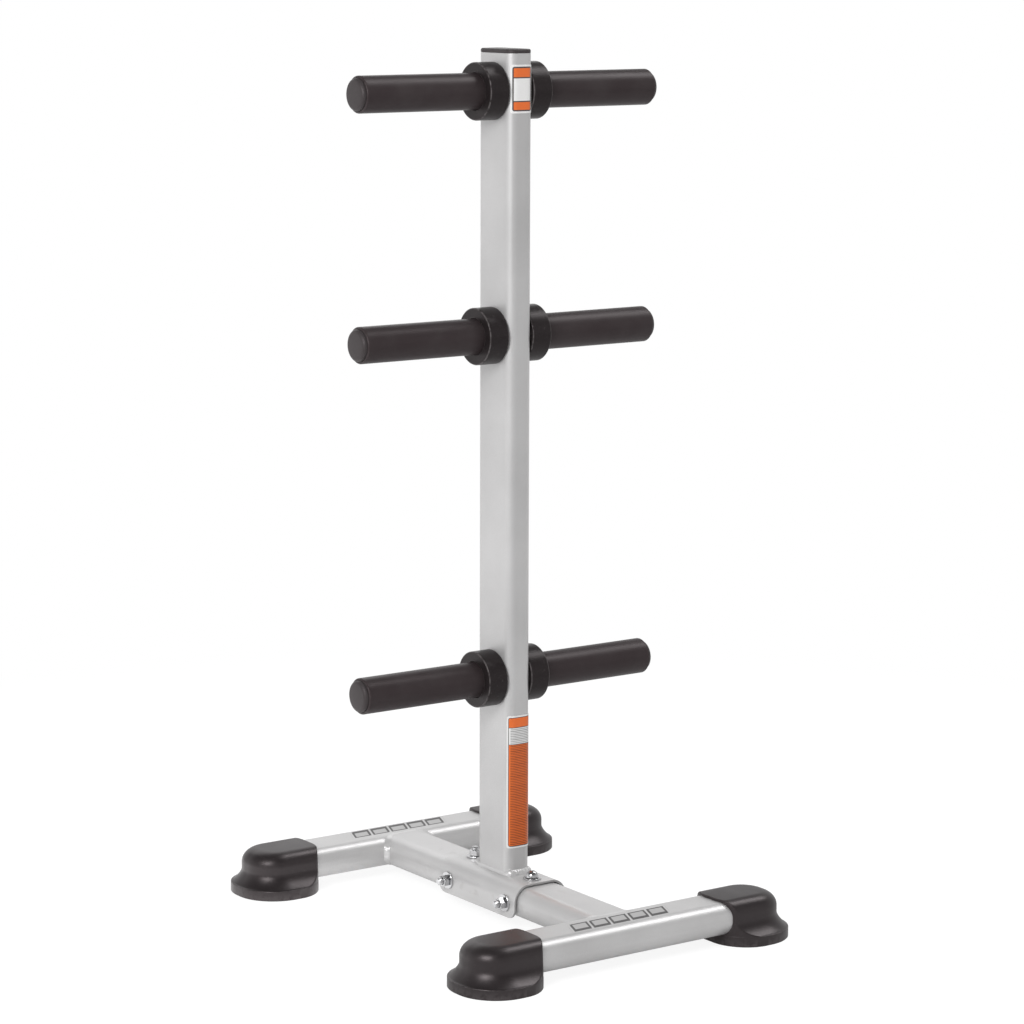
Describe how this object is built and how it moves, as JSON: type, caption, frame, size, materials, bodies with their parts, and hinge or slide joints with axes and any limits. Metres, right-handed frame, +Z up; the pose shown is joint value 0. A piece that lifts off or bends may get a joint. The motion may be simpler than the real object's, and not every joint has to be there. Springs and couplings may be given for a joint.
{
  "type": "plate tree",
  "caption": "Upright plate tree with round pegs to both sides, black stop collars, and an H-shaped tube base on rubber feet.",
  "frame": {"origin": "on the floor, centred under the upright", "axes": "+Z up, +X along the pegs towards the right, -Y towards the front, where the upright carries its stickers"},
  "size_m": [0.5208, 0.661, 1.1695],
  "materials": {
    "frame_paint": "satin silver powder coat",
    "weld_paint": "satin silver powder coat over rippled bead",
    "peg_paint": "satin black",
    "peg_weld_paint": "satin black over rippled bead",
    "collar_plastic": "satin black",
    "black_plastic": "fine-grained black",
    "foot_rubber": "satin moulded",
    "chrome_plate": "bright plated",
    "sticker_film": "printed film in orange and white panels"
  },
  "bodies": {
    "root": {"upright_tube": "frame_paint", "upright_cap": "black_plastic", "upright_weld": "weld_paint", "upper_sticker": "sticker_film", "lower_sticker": "sticker_film", "saddle_bracket": "frame_paint", "front_stub_tube": "frame_paint", "front_stub_weld": "weld_paint", "front_foot_tube": "frame_paint", "front_left_rubber_foot": "foot_rubber", "front_right_rubber_foot": "foot_rubber", "rear_stub_tube": "frame_paint", "rear_stub_weld": "weld_paint", "rear_foot_tube": "frame_paint", "rear_left_rubber_foot": "foot_rubber", "rear_right_rubber_foot": "foot_rubber", "top_left_peg": "peg_paint", "top_left_peg_cap": "black_plastic", "top_left_peg_collar": "collar_plastic", "top_left_peg_weld": "peg_weld_paint", "top_right_peg": "peg_paint", "top_right_peg_cap": "black_plastic", "top_right_peg_collar": "collar_plastic", "top_right_peg_weld": "peg_weld_paint", "middle_left_peg": "peg_paint", "middle_left_peg_cap": "black_plastic", "middle_left_peg_collar": "collar_plastic", "middle_left_peg_weld": "peg_weld_paint", "middle_right_peg": "peg_paint", "middle_right_peg_cap": "black_plastic", "middle_right_peg_collar": "collar_plastic", "middle_right_peg_weld": "peg_weld_paint", "bottom_left_peg": "peg_paint", "bottom_left_peg_cap": "black_plastic", "bottom_left_peg_collar": "collar_plastic", "bottom_left_peg_weld": "peg_weld_paint", "bottom_right_peg": "peg_paint", "bottom_right_peg_cap": "black_plastic", "bottom_right_peg_collar": "collar_plastic", "bottom_right_peg_weld": "peg_weld_paint", "front_side_bolt": "chrome_plate", "front_side_head_washer": "chrome_plate", "front_side_nut_washer": "chrome_plate", "front_side_nut": "chrome_plate", "front_top_bolt": "chrome_plate", "front_top_nut": "chrome_plate", "front_top_washer": "chrome_plate", "rear_side_bolt": "chrome_plate", "rear_side_head_washer": "chrome_plate", "rear_side_nut_washer": "chrome_plate", "rear_side_nut": "chrome_plate", "rear_top_bolt": "chrome_plate", "rear_top_nut": "chrome_plate", "rear_top_washer": "chrome_plate"}
  },
  "joints": []
}
